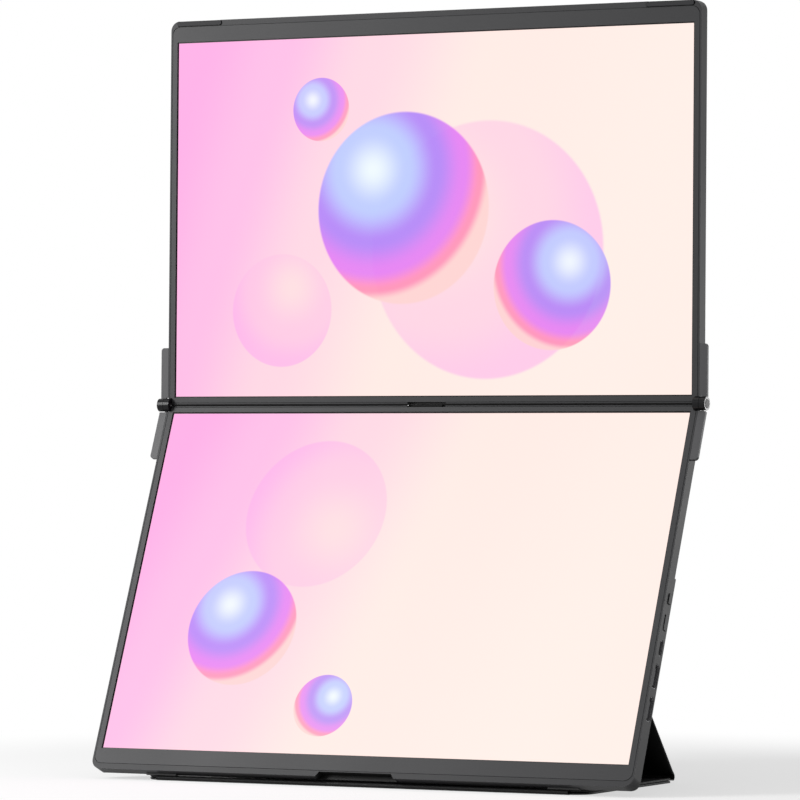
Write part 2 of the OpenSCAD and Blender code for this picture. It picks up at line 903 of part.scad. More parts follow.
// Plate on the display's back, drawn in the lower display's own frame
module plate_layer(q0, q1, inset) {
    span(
        [-cover_w / 2 + inset, socket_y + plate_gap + q0, plate_top_gap + inset],
        [cover_w / 2 - inset, socket_y + plate_gap + q1, far_z - fold_up - fold_skim - inset]
    );
}

// Frame of the leg: y from the rear fold towards the top fold, z outwards
module on_leg() {
    translate([0, rear_fold_y, rear_roll_r])
        rotate([180 - leg_angle, 0, 0]) mirror([0, 0, 1]) children();
}

// Layer of the leg between the depths q0 and q1 under its outer face
module leg_layer(y0, q0, q1, inset) {
    span(
        [-cover_w / 2 + inset, y0, rear_roll_r - q1],
        [cover_w / 2 - inset, leg_len - fold_skim - inset, rear_roll_r - q0]
    );
}

// Layer that lies flat, with its two front corners rounded
module flat_layer(y0, z0, z1, inset) {
    r = cover_corner_r - inset;
    x = cover_w / 2 - inset;
    front = y0 + inset;
    translate([0, 0, z0]) linear_extrude(z1 - z0) {
        rect([-x, front + r], [x, flat_y1 - inset]);
        rect([-x + r, front], [x - r, front + r]);
        for (side = [-1, 1]) {
            translate([side * (x - r), front + r]) circle(r);
        }
    }
}

// The board and the lining keep clear of the rolled leather at each fold
leg_core_y0 = rear_roll_r + fold_skim;
flat_y1 = rear_fold_y - rear_roll_r - fold_skim;
flat_core_y0 = front_fold_y + front_roll_r + fold_skim;
base_z = flap_t + flap_gap;

module cover_plate_lining() {
    color([0.35, 0.35, 0.36]) on_lower() plate_layer(0, lining_t - bond, 0);
}

module cover_plate_board() {
    color([0.5, 0.5, 0.48]) on_lower() plate_layer(lining_t, lining_t + core_t - bond, core_inset);
}

module cover_plate_skin() {
    color([0.07, 0.07, 0.075]) on_lower() plate_layer(lining_t + core_t, flap_t, 0);
}

// Pad that fills the step above the socket zone, with pockets for the magnets
module cover_magnet_pad() {
    color([0.2, 0.2, 0.2]) on_lower() difference() {
        span(
            [-cover_w / 2 + pad_inset, back_y + plate_gap, plate_top_gap + pad_inset],
            [cover_w / 2 - pad_inset, socket_y + plate_gap - bond, zone_z - fold_skim]
        );
        magnets(fit_gap);
    }
}

// Row of flat magnets in the pad, grown by extra
module magnets(extra) {
    for (i = [-1, 0, 1]) {
        translate([
            i * magnet_pitch - magnet_w / 2 - extra,
            back_y + plate_gap + magnet_cover - extra,
            zone_z - 3 * magnet_h - extra
        ])
            cube([magnet_w + 2 * extra, magnet_t + 2 * extra, magnet_h + 2 * extra]);
    }
}

module cover_magnets() { color([0.6, 0.6, 0.6]) on_lower() magnets(0); }

module cover_leg_lining() {
    color([0.35, 0.35, 0.36]) on_leg() leg_layer(leg_core_y0, flap_t - lining_t + bond, flap_t, 0);
}

module cover_leg_board() {
    color([0.5, 0.5, 0.48]) on_leg()
        leg_layer(leg_core_y0 + core_inset, skin_t + bond, flap_t - lining_t, core_inset);
}

// Leather of the leg with the roll that stands on the table
module cover_leg_skin() {
    color([0.07, 0.07, 0.075]) on_leg() {
        leg_layer(0, 0, skin_t, 0);
        rod_x(-cover_w / 2, cover_w / 2, rear_roll_r);
    }
}

// Leather of the base with the roll at the front fold
module cover_base_skin() {
    color([0.07, 0.07, 0.075]) {
        flat_layer(front_fold_y, base_z, base_z + skin_t - bond, 0);
        translate([0, front_fold_y, front_roll_r])
            rod_x(-cover_w / 2 + cover_corner_r, cover_w / 2 - cover_corner_r, front_roll_r);
    }
}

module cover_base_board() {
    color([0.5, 0.5, 0.48])
        flat_layer(flat_core_y0, base_z + skin_t, stack_h - lining_t - bond, core_inset);
}

module cover_base_lining() {
    color([0.35, 0.35, 0.36]) flat_layer(flat_core_y0, stack_h - lining_t, stack_h, 0);
}

module cover_flap_skin() {
    color([0.07, 0.07, 0.075]) flat_layer(flat_core_y0, flap_t - skin_t + bond, flap_t, 0);
}

module cover_flap_board() {
    color([0.5, 0.5, 0.48])
        flat_layer(flat_core_y0, lining_t + bond, flap_t - skin_t, core_inset);
}

module cover_flap_lining() {
    color([0.35, 0.35, 0.36]) flat_layer(flat_core_y0, 0, lining_t, 0);
}

lower_rear_shell();
lower_bezel();
lower_lcd_cell();
lower_optical_films();
lower_light_guide();
lower_led_strip();
lower_lcd_tray();
lower_driver_board();
main_board();
main_board_chips();
board_screws();
usb_socket();
usb_tongue();
video_socket_upper();
video_socket_lower();
video_tongues();
lower_flex_cable();
seam_cable_sleeve();
seam_seal();
lower_hinge_leaf_left();
lower_hinge_leaf_right();
hinge_pin_left();
hinge_pin_right();
friction_washers();
lower_leaf_screws();
rubber_foot_left();
rubber_foot_right();
cover_plate_skin();
cover_plate_board();
cover_plate_lining();
cover_magnet_pad();
cover_magnets();
upper_rear_shell();
upper_bezel();
upper_lcd_cell();
upper_optical_films();
upper_light_guide();
upper_led_strip();
upper_lcd_tray();
upper_driver_board();
upper_flex_cable();
upper_hinge_leaf_left();
upper_hinge_leaf_right();
upper_leaf_screws();
bumper_left();
bumper_right();
cover_leg_skin();
cover_leg_board();
cover_leg_lining();
cover_base_skin();
cover_base_board();
cover_base_lining();
cover_flap_skin();
cover_flap_board();
cover_flap_lining();
power_button();
rocker_key();
rocker_pin();
key_switches();
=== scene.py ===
import json
import math

import bmesh
import bpy
from mathutils import Matrix, Vector

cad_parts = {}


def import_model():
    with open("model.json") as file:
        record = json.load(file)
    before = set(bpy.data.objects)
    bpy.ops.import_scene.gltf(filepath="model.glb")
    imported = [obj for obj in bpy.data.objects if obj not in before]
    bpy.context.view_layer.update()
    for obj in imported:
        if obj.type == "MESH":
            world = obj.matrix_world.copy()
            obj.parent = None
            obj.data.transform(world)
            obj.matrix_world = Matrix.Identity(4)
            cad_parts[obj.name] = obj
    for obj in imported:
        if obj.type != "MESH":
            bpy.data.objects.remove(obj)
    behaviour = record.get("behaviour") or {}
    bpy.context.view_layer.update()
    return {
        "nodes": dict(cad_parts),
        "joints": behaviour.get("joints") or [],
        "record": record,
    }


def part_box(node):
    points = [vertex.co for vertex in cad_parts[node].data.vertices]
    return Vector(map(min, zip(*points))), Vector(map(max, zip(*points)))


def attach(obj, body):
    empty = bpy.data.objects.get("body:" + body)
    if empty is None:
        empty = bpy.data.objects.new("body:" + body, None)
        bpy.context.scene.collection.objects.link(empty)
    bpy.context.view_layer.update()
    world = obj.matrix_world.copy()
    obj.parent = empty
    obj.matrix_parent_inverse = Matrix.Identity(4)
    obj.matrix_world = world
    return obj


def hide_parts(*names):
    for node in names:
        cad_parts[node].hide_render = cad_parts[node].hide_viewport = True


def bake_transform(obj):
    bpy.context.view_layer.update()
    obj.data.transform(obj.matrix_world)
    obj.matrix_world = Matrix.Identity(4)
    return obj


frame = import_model()
JOINTS = {joint["name"]: joint for joint in frame["joints"]}
MM = 0.001

# Places of the object, taken from the joints. The leans repeat the construction's values
HINGE = Vector(JOINTS["display_hinge"]["pos_m"])
TOP_FOLD = Vector(JOINTS["stand_fold"]["pos_m"])
REAR_FOLD = Vector(JOINTS["base_fold"]["pos_m"])
FRONT_FOLD = Vector(JOINTS["flap_open"]["pos_m"])
LOWER_LEAN = math.radians(22.9)
UPPER_LEAN = math.radians(1.0)
COVER_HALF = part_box("cover_leg_skin")[1][0]

# Sizes of the cover and of the hinge barrel, which repeat the construction's
SKIN = 0.4 * MM
FLAP_T = 1.3 * MM
FLAP_GAP = 0.2 * MM
FOLD_OUT = 0.2 * MM
FOLD_SKIM = 0.3 * MM
CORNER_R = 10 * MM
BARREL_R = 4 * MM

# Finish of the leather's edges and stitches
PLATE_CORNER_R = CORNER_R * 0.6
SQUARE_R = 1 * MM
FLAP_ROUND = 0.35 * MM
STITCH_INSET = 3.2 * MM
STITCH_PITCH = 3.4 * MM
STITCH_LEN = 2.4 * MM
STITCH_R = 0.22 * MM
EDGE_STITCH = (1.45 * MM, 1.15 * MM, 0.30 * MM)
SOFT_ANGLE = 50
RELIEF_DEPTH = 0.0002


# ---- Frames of the displays and of the leg ----

def display_matrix(lean, turned):
    """Own frame of a display: x right, y backwards, z away from the seam."""
    flip = Matrix.Scale(-1, 4, (0, 0, 1)) if turned else Matrix.Identity(4)
    return Matrix.Translation(HINGE) @ Matrix.Rotation(-lean, 4, "X") @ flip


UPPER = display_matrix(UPPER_LEAN, False)
LOWER = display_matrix(LOWER_LEAN, True)


def leg_frame():
    """Unit vectors of the leg: along, from the top fold down to the rear fold, and outwards."""
    span = REAR_FOLD - TOP_FOLD
    shift = REAR_FOLD.z + FOLD_OUT
    length = math.sqrt(span.length_squared - shift * shift)
    angle = math.atan2(-span.z, span.y) - math.atan2(shift, length)
    along = Vector((0, math.cos(angle), -math.sin(angle)))
    outward = Vector((0, math.sin(angle), math.cos(angle)))
    return along, outward, length


ALONG, OUTWARD, LEG_LEN = leg_frame()


# ---- Shader helpers ----

def socket(tree, side, name, kind, default=None):
    """Adds a named socket to a group."""
    item = tree.interface.new_socket(name=name, in_out=side, socket_type=kind)
    if default is not None:
        item.default_value = default


def grain_group():
    """Fine moulded grain: a bump height, and a small change of brightness."""
    tree = bpy.data.node_groups.new("moulded_grain", "ShaderNodeTree")
    socket(tree, "INPUT", "Vector", "NodeSocketVector")
    socket(tree, "INPUT", "Grain Scale", "NodeSocketFloat", 3000.0)
    socket(tree, "INPUT", "Colour A", "NodeSocketColor", (0.1, 0.1, 0.1, 1))
    socket(tree, "INPUT", "Colour B", "NodeSocketColor", (0.12, 0.12, 0.12, 1))
    socket(tree, "INPUT", "Rough Low", "NodeSocketFloat", 0.5)
    socket(tree, "INPUT", "Rough High", "NodeSocketFloat", 0.6)
    socket(tree, "OUTPUT", "Colour", "NodeSocketColor")
    socket(tree, "OUTPUT", "Roughness", "NodeSocketFloat")
    socket(tree, "OUTPUT", "Height", "NodeSocketFloat")
    add, link = tree.nodes.new, tree.links.new
    source, out = add("NodeGroupInput"), add("NodeGroupOutput")
    fine = add("ShaderNodeTexNoise")
    fine.inputs["Detail"].default_value = 3.0
    wide = add("ShaderNodeTexNoise")
    wide.inputs["Scale"].default_value = 14.0
    mix = add("ShaderNodeMix")
    mix.data_type = "RGBA"
    rough = add("ShaderNodeMapRange")
    link(source.outputs["Vector"], fine.inputs["Vector"])
    link(source.outputs["Vector"], wide.inputs["Vector"])
    link(source.outputs["Grain Scale"], fine.inputs["Scale"])
    link(fine.outputs["Fac"], mix.inputs["Factor"])
    link(source.outputs["Colour A"], mix.inputs["A"])
    link(source.outputs["Colour B"], mix.inputs["B"])
    link(wide.outputs["Fac"], rough.inputs["Value"])
    link(source.outputs["Rough Low"], rough.inputs["To Min"])
    link(source.outputs["Rough High"], rough.inputs["To Max"])
    link(mix.outputs["Result"], out.inputs["Colour"])
    link(rough.outputs["Result"], out.inputs["Roughness"])
    link(fine.outputs["Fac"], out.inputs["Height"])
    return tree


def leather_group():
    """Leather cells with creases between them."""
    tree = bpy.data.node_groups.new("leather_grain", "ShaderNodeTree")
    socket(tree, "INPUT", "Vector", "NodeSocketVector")
    socket(tree, "INPUT", "Cell Scale", "NodeSocketFloat", 900.0)
    socket(tree, "INPUT", "Colour", "NodeSocketColor", (0.01, 0.01, 0.01, 1))
    socket(tree, "INPUT", "Crease Colour", "NodeSocketColor", (0.004, 0.004, 0.004, 1))
    socket(tree, "OUTPUT", "Colour", "NodeSocketColor")
    socket(tree, "OUTPUT", "Roughness", "NodeSocketFloat")
    socket(tree, "OUTPUT", "Height", "NodeSocketFloat")
    add, link = tree.nodes.new, tree.links.new
    source, out = add("NodeGroupInput"), add("NodeGroupOutput")
    warp = add("ShaderNodeTexNoise")
    warp.inputs["Scale"].default_value = 260.0
    shift = add("ShaderNodeVectorMath")
    shift.operation = "MULTIPLY_ADD"
    shift.inputs[1].default_value = (0.0008, 0.0008, 0.0008)
    cells = add("ShaderNodeTexVoronoi")
    cells.feature = "DISTANCE_TO_EDGE"
    crease = add("ShaderNodeMapRange")
    crease.inputs["From Max"].default_value = 0.16
    mix = add("ShaderNodeMix")
    mix.data_type = "RGBA"
    rough = add("ShaderNodeMapRange")
    rough.inputs["To Min"].default_value = 0.62
    rough.inputs["To Max"].default_value = 0.46
    link(source.outputs["Vector"], warp.inputs["Vector"])
    link(warp.outputs["Color"], shift.inputs[0])
    link(source.outputs["Vector"], shift.inputs[2])
    link(shift.outputs["Vector"], cells.inputs["Vector"])
    link(source.outputs["Cell Scale"], cells.inputs["Scale"])
    link(cells.outputs["Distance"], crease.inputs["Value"])
    link(crease.outputs["Result"], mix.inputs["Factor"])
    link(source.outputs["Crease Colour"], mix.inputs["A"])
    link(source.outputs["Colour"], mix.inputs["B"])
    link(crease.outputs["Result"], rough.inputs["Value"])
    link(mix.outputs["Result"], out.inputs["Colour"])
    link(rough.outputs["Result"], out.inputs["Roughness"])
    link(crease.outputs["Result"], out.inputs["Height"])
    return tree


GRAIN = grain_group()
LEATHER = leather_group()


def new_material(name):
    """A material with its Principled shader and a texture coordinate node."""
    material = bpy.data.materials.new(name)
    material.use_nodes = True
    tree = material.node_tree
    shader = tree.nodes["Principled BSDF"]
    place = tree.nodes.new("ShaderNodeTexCoord")
    return material, tree, shader, place


def surfaced(name, look, values, bump, specular):
    """A material whose colour, roughness and relief come from a shared group."""
    material, tree, shader, place = new_material(name)
    group = tree.nodes.new("ShaderNodeGroup")
    group.node_tree = look
    for label, value in values.items():
        group.inputs[label].default_value = value
    relief = tree.nodes.new("ShaderNodeBump")
    relief.inputs["Strength"].default_value = bump
    relief.inputs["Distance"].default_value = RELIEF_DEPTH
    shader.inputs["Specular IOR Level"].default_value = specular
    link = tree.links.new
    link(place.outputs["Object"], group.inputs["Vector"])
    link(group.outputs["Colour"], shader.inputs["Base Color"])
    link(group.outputs["Roughness"], shader.inputs["Roughness"])
    link(group.outputs["Height"], relief.inputs["Height"])
    link(relief.outputs["Normal"], shader.inputs["Normal"])
    return material, shader


def grained(name, low, high, rough, scale, bump, metallic=0.0, specular=0.16):
    """Moulded or painted surface with fine grain between two colours."""
    values = {
        "Grain Scale": scale, "Colour A": (*low, 1), "Colour B": (*high, 1),
        "Rough Low": rough[0], "Rough High": rough[1],
    }
    material, shader = surfaced(name, GRAIN, values, bump, specular)
    shader.inputs["Metallic"].default_value = metallic
    return material


def leather(name, colour, crease, cell_scale, bump):
    """Leather, or a lining with a finer grain."""
    values = {"Cell Scale": cell_scale, "Colour": (*colour, 1), "Crease Colour": (*crease, 1)}
    return surfaced(name, LEATHER, values, bump, 0.18)[0]


def ramp(tree, value, stops):
    """Colour ramp through the given (position, colour) stops."""
    node = tree.nodes.new("ShaderNodeValToRGB")
    node.color_ramp.interpolation = "EASE"
    while len(node.color_ramp.elements) < len(stops):
        node.color_ramp.elements.new(0.5)
    for element, (position, colour) in zip(node.color_ramp.elements, stops):
        element.position = position
        element.color = (*colour, 1)
    tree.links.new(value, node.inputs["Fac"])
    return node.outputs["Color"]


def mixed(tree, factor, a, b):
    """Mix of two colours."""
    node = tree.nodes.new("ShaderNodeMix")
    node.data_type = "RGBA"
    tree.links.new(factor, node.inputs["Factor"])
    tree.links.new(a, node.inputs["A"])
    tree.links.new(b, node.inputs["B"])
    return node.outputs["Result"]


def calc(tree, operation, *values):
    """Math node on sockets or plain numbers."""
    node = tree.nodes.new("ShaderNodeMath")
    node.operation = operation
    for slot, value in zip(node.inputs, values):
        if isinstance(value, (int, float)):
            slot.default_value = value
        else:
            tree.links.new(value, slot)
    return node.outputs[0]


def seen_ray(tree):
    """1 for the rays that show the background: camera, transmission and glossy ones."""
    path = tree.nodes.new("ShaderNodeLightPath")
    seen = calc(tree, "MAXIMUM", path.outputs["Is Camera Ray"], path.outputs["Is Transmission Ray"])
    return calc(tree, "MAXIMUM", seen, path.outputs["Is Glossy Ray"])


def plain_colour(tree, *rgb):
    """A colour that other nodes can mix with."""
    node = tree.nodes.new("ShaderNodeRGB")
    node.outputs[0].default_value = (*rgb, 1)
    return node.outputs[0]


def node_of_type(tree, kind):
    """The first node of a type."""
    return next(node for node in tree.nodes if node.type == kind)


# Near-black painted shade for the insides of recesses
PAINTED_RECESS_SHADE = (0.003, 0.003, 0.003)


def paint_recess_shade(material, matrix, boxes):
    """Paints shade, as a near-black colour, into the insides of recesses, given as boxes in a display's own frame,
    alike on both sides.
    """
    tree = material.node_tree
    shader = tree.nodes["Principled BSDF"]
    place = node_of_type(tree, "TEX_COORD")
    moved = tree.nodes.new("ShaderNodeVectorMath")
    moved.operation = "SUBTRACT"
    moved.inputs[1].default_value = HINGE
    tree.links.new(place.outputs["Object"], moved.inputs[0])
    own = []
    for axis in range(3):
        dot = tree.nodes.new("ShaderNodeVectorMath")
        dot.operation = "DOT_PRODUCT"
        dot.inputs[1].default_value = matrix.to_3x3().col[axis]
        tree.links.new(moved.outputs["Vector"], dot.inputs[0])
        own.append(dot.outputs["Value"])
    own[0] = calc(tree, "ABSOLUTE", own[0])
    dark = plain_colour(tree, *PAINTED_RECESS_SHADE)
    colour = shader.inputs["Base Color"].links[0].from_socket
    for low, high in boxes:
        mask = 1.0
        for value, a, b in zip(own, low, high):
            off = calc(tree, "ABSOLUTE", calc(tree, "SUBTRACT", value, (a + b) / 2 * MM))
            mask = calc(tree, "MULTIPLY", calc(tree, "LESS_THAN", off, (b - a) / 2 * MM), mask)
        # Painted shade inside each box
        colour = mixed(tree, mask, colour, dark)
    tree.links.new(colour, shader.inputs["Base Color"])
    return material


BARREL_BLACK = (0.008, 0.008, 0.009)
BARREL_REACH = BARREL_R + 0.15 * MM
BARREL_POLISH = 0.18


def barrelled(name):
    """Grey hinge paint with a glossy black barrel: the mask is the distance from the hinge axis."""
    material = grained(name, (0.075, 0.075, 0.078), (0.095, 0.095, 0.098), (0.34, 0.44), 2600.0, 0.08)
    tree = material.node_tree
    shader = tree.nodes["Principled BSDF"]
    group = node_of_type(tree, "GROUP")
    place = node_of_type(tree, "TEX_COORD")
    split = tree.nodes.new("ShaderNodeSeparateXYZ")
    tree.links.new(place.outputs["Object"], split.inputs["Vector"])
    back = calc(tree, "SUBTRACT", split.outputs["Y"], HINGE.y)
    rise = calc(tree, "SUBTRACT", split.outputs["Z"], HINGE.z)
    squares = calc(tree, "ADD", calc(tree, "MULTIPLY", back, back), calc(tree, "MULTIPLY", rise, rise))
    inside = calc(tree, "LESS_THAN", calc(tree, "SQRT", squares), BARREL_REACH)
    colour = mixed(tree, inside, group.outputs["Colour"], plain_colour(tree, *BARREL_BLACK))
    polish = calc(tree, "MULTIPLY", inside, BARREL_POLISH)
    rough = calc(tree, "SUBTRACT", group.outputs["Roughness"], polish)
    tree.links.new(colour, shader.inputs["Base Color"])
    tree.links.new(rough, shader.inputs["Roughness"])
    return material


FIELD = [(0.0, (1.0, 0.38, 0.74)), (0.16, (1.0, 0.47, 0.75)), (0.34, (1.0, 0.64, 0.73)),
         (0.58, (1.0, 0.79, 0.74)), (1.0, (1.0, 0.83, 0.77))]
ORB = [(0.0, (0.80, 0.93, 1.0)), (0.30, (0.42, 0.55, 1.0)), (0.55, (0.36, 0.16, 0.90)),
       (0.78, (0.72, 0.14, 0.86)), (0.92, (1.0, 0.22, 0.42)), (1.0, (1.0, 0.62, 0.60))]
HALO = [(0.0, (1.0, 0.72, 0.70)), (0.6, (1.0, 0.50, 0.74)), (1.0, (1.0, 0.36, 0.80))]
PICTURE_ASPECT = 1.6
FIELD_LEVEL = 0.75
FIELD_SLOPE = 0.22
DISC_EDGE = 0.97
DISC_REACH = 1.35


def distance_from(tree, across, up, centre):
    """Distance from a point of the picture."""
    u = calc(tree, "SUBTRACT", across, centre[0])
    v = calc(tree, "SUBTRACT", up, centre[1])
    return calc(tree, "SQRT", calc(tree, "ADD", calc(tree, "MULTIPLY", u, u), calc(tree, "MULTIPLY", v, v)))


def screen_picture(name, orbs):
    """Lit screen: a soft field of colour with overlapping translucent discs."""
    material, tree, shader, _ = new_material(name)
    uv = tree.nodes.new("ShaderNodeUVMap")
    uv.uv_map = "picture"
    split = tree.nodes.new("ShaderNodeSeparateXYZ")
    tree.links.new(uv.outputs["UV"], split.inputs["Vector"])
    across, up = split.outputs["X"], split.outputs["Y"]
    wide = calc(tree, "MULTIPLY", across, PICTURE_ASPECT)
    slope = calc(tree, "MULTIPLY", calc(tree, "SUBTRACT", FIELD_LEVEL, up), FIELD_SLOPE)
    colour = ramp(tree, calc(tree, "ADD", across, slope), FIELD)
    for stops, centre, radius, shift, strength in orbs:
        edge = calc(tree, "DIVIDE", distance_from(tree, wide, up, centre), radius)
        inner = (centre[0] + shift[0] * radius, centre[1] + shift[1] * radius)
        tone = calc(tree, "DIVIDE", distance_from(tree, wide, up, inner), radius * DISC_REACH)
        mask = tree.nodes.new("ShaderNodeMapRange")
        mask.interpolation_type = "SMOOTHSTEP"
        mask.inputs["From Min"].default_value = 1.0
        mask.inputs["From Max"].default_value = DISC_EDGE
        tree.links.new(edge, mask.inputs["Value"])
        fade = calc(tree, "MULTIPLY", mask.outputs["Result"], strength)
        colour = mixed(tree, fade, colour, ramp(tree, tone, stops))
    shader.inputs["Base Color"].default_value = (0.01, 0.01, 0.01, 1)
    shader.inputs["Roughness"].default_value = 0.5
    shader.inputs["Specular IOR Level"].default_value = 0.2
    shader.inputs["Emission Strength"].default_value = 1.0
    tree.links.new(colour, shader.inputs["Emission Color"])
    return material


# Discs from back to front: colours, centre, radius, offset of the bright spot and strength
UPPER_ORBS = [
    (HALO, (0.98, 0.40), 0.36, (-0.4, 0.3), 0.55),
    (ORB, (0.72, 0.52), 0.27, (-0.35, 0.40), 0.90),
    (ORB, (1.18, 0.30), 0.18, (0.30, 0.35), 0.85),
    (HALO, (0.34, 0.24), 0.16, (0.2, 0.4), 0.60),
    (ORB, (0.46, 0.80), 0.09, (-0.3, 0.3), 0.80),
]
LOWER_ORBS = [
    (HALO, (0.52, 0.70), 0.22, (0.3, -0.2), 0.50),
    (ORB, (0.36, 0.36), 0.17, (-0.3, 0.4), 0.85),
    (ORB, (0.66, 0.14), 0.09, (0.3, 0.3), 0.80),
]

SHELL = ((0.028, 0.028, 0.030), (0.042, 0.042, 0.044), (0.40, 0.50), 2200.0, 0.12)
BEZEL = ((0.034, 0.034, 0.036), (0.050, 0.050, 0.052), (0.38, 0.48), 2200.0, 0.12)
MATERIALS = {
    "hinge_alloy": barrelled("hinge_paint"),
    "pin_steel": grained("black_steel", (0.020, 0.020, 0.021), (0.026, 0.026, 0.027), (0.34, 0.4), 3000.0, 0.02),
    "socket_metal": grained("socket_steel", (0.26, 0.26, 0.27), (0.34, 0.34, 0.35), (0.35, 0.45), 3000.0, 0.03, 0.5),
    "tray_steel": grained("plain_steel", (0.52, 0.52, 0.54), (0.6, 0.6, 0.62), (0.3, 0.42), 2000.0, 0.03, 0.95),
    "dark_rubber": grained("bumper_rubber", (0.024, 0.024, 0.026), (0.034, 0.034, 0.036), (0.55, 0.66), 3600.0, 0.06),
    "foot_rubber": grained("grey_rubber", (0.10, 0.10, 0.10), (0.13, 0.13, 0.13), (0.6, 0.72), 3600.0, 0.06),
    "key_plastic": grained("key_plastic", (0.022, 0.022, 0.024), (0.030, 0.030, 0.032), (0.4, 0.5), 3200.0, 0.04),
    "film": grained("white_film", (0.72, 0.72, 0.75), (0.8, 0.8, 0.82), (0.3, 0.4), 900.0, 0.02),
    "acrylic": grained("clear_sheet", (0.7, 0.78, 0.82), (0.76, 0.83, 0.86), (0.1, 0.16), 500.0, 0.01),
    "board_green": grained("board_lacquer", (0.02, 0.16, 0.08), (0.03, 0.22, 0.11), (0.28, 0.38), 1400.0, 0.05),
    "chip_black": grained("chip_resin", (0.012, 0.012, 0.012), (0.02, 0.02, 0.02), (0.5, 0.6), 2600.0, 0.04),
    "copper_film": grained("copper_film", (0.5, 0.27, 0.07), (0.58, 0.33, 0.1), (0.3, 0.42), 1200.0, 0.02, 0.3),
    "magnet": grained("plated_magnet", (0.42, 0.42, 0.43), (0.5, 0.5, 0.51), (0.2, 0.3), 1500.0, 0.02, 0.95),
    "cover_board": grained("grey_board", (0.17, 0.17, 0.16), (0.22, 0.22, 0.21), (0.8, 0.9), 1600.0, 0.1),
    "cover_leather": leather("black_leather", (0.006, 0.006, 0.0065), (0.002, 0.002, 0.002), 700.0, 0.45),
    "cover_lining": leather("black_microfibre", (0.005, 0.005, 0.0055), (0.003, 0.003, 0.003), 2400.0, 0.2),
}
SEAL = grained("seal_rubber", (0.004, 0.004, 0.004), (0.007, 0.007, 0.007), (0.6, 0.7), 3600.0, 0.04, specular=0.08)
SLEEVE = grained("sleeve_rubber", (0.006, 0.006, 0.006), (0.010, 0.010, 0.010), (0.5, 0.6), 3600.0, 0.04, specular=0.05)
MOUTH = grained("socket_tongue", (0.13, 0.132, 0.145), (0.17, 0.172, 0.185), (0.35, 0.45), 3000.0, 0.03)
THREAD = grained("black_thread", (0.03, 0.03, 0.032), (0.06, 0.06, 0.062), (0.35, 0.45), 5000.0, 0.1)
EDGE_THREAD = grained("edge_thread", (0.06, 0.06, 0.062), (0.10, 0.10, 0.102), (0.4, 0.5), 5000.0, 0.1)
CELL_EDGE = grained("cell_edge", (0.004, 0.004, 0.004), (0.006, 0.006, 0.006), (0.3, 0.36), 2000.0, 0.01)


# Recesses in each display's own frame, in millimetres, whose insides get painted shade: seam slot, bumper seats and
# finger notch
SEAM_SLOT = ((0, 0.60, -0.1), (12.9, 3.25, 1.45))
BUMPER_SEAT = ((141.8, 0.60, 230.6), (173.3, 1.45, 234.2))
FINGER_NOTCH = ((0, 0.60, 231.25), (27.0, 6.15, 234.2))
# Shells and bezels carry painted shade in their recesses; the socket tongues are plain
OWN_FINISH_AND_SHADE = {
    "upper_rear_shell": paint_recess_shade(grained("upper_shell", *SHELL), UPPER, [SEAM_SLOT, BUMPER_SEAT]),
    "lower_rear_shell": paint_recess_shade(grained("lower_shell", *SHELL), LOWER, [SEAM_SLOT, FINGER_NOTCH]),
    "upper_bezel": paint_recess_shade(grained("upper_frame", *BEZEL), UPPER, [SEAM_SLOT]),
    "lower_bezel": paint_recess_shade(grained("lower_frame", *BEZEL), LOWER, [SEAM_SLOT]),
    "video_tongues": MOUTH,
    "usb_tongue": MOUTH,
}


def paint_frame():
    """Gives every CAD node the material of its slot in the record."""
    slots = {part["node"]: part["material_slot"] for part in frame["record"]["subparts"]}
    for node, obj in frame["nodes"].items():
        finish = OWN_FINISH_AND_SHADE.get(node) or MATERIALS.get(slots[node], CELL_EDGE)
        obj.data.materials.clear()
        obj.data.materials.append(finish)


# ---- Mesh helpers ----

def piece(name, mesh, material, body, slot, *nodes):
    """Finished piece: painted, riding on its body, standing for its CAD nodes."""
    obj = bpy.data.objects.new(name, mesh)
    bpy.context.scene.collection.objects.link(obj)
    if material is not None:
        mesh.materials.clear()
        mesh.materials.append(material)
    if nodes:
        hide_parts(*nodes)
    if body:
        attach(obj, body)
    return obj


def mesh_of(name, bm):
    """Mesh from a bmesh, with its faces pointing outwards."""
    bmesh.ops.remove_doubles(bm, verts=bm.verts, dist=1e-7)
    bmesh.ops.recalc_face_normals(bm, faces=bm.faces)
    mesh = bpy.data.meshes.new(name)
    bm.to_mesh(mesh)
    bm.free()
    return mesh


def smooth_by_angle(mesh, degrees=40):
    """Smooth shading with sharp edges above an angle."""
    mesh.shade_smooth()
    mesh.set_sharp_from_angle(angle=math.radians(degrees))


def own_points(node, matrix):
    """Corners of a CAD node in a display's own frame."""
    inverse = matrix.inverted()
    return [inverse @ v.co for v in frame["nodes"][node].data.vertices]


# ---- Screens ----

PICTURE_LIFT = 0.015 * MM
PICTURE_INSET = 1.2 * MM
PICTURE_INSET_FAR = 1.8 * MM


def lit_picture(name, node, matrix, body, material):
    """Thin lit layer on the front of a display cell, inside the black edge."""
    corners = own_points(node, matrix)
    front = min(c.y for c in corners) - PICTURE_LIFT
    half = max(c.x for c in corners) - PICTURE_INSET
    z0 = min(c.z for c in corners) + PICTURE_INSET
    z1 = max(c.z for c in corners) - PICTURE_INSET_FAR
    bm = bmesh.new()
    loop = [(-half, z0), (half, z0), (half, z1), (-half, z1)]
    verts = [bm.verts.new(matrix @ Vector((x, front, z))) for x, z in loop]
    face = bm.faces.new(verts)
    layer = bm.loops.layers.uv.new("picture")
    flip = matrix is LOWER
    for corner, (x, z) in zip(face.loops, loop):
        rise = (z - z0) / (z1 - z0)
        corner[layer].uv = ((x + half) / (2 * half), 1 - rise if flip else rise)
    face.normal_update()
    if face.normal.y > 0:
        face.normal_flip()
    mesh = bpy.data.meshes.new(name)
    bm.to_mesh(mesh)
    bm.free()
    piece(name, mesh, material, body, "screen_glass")


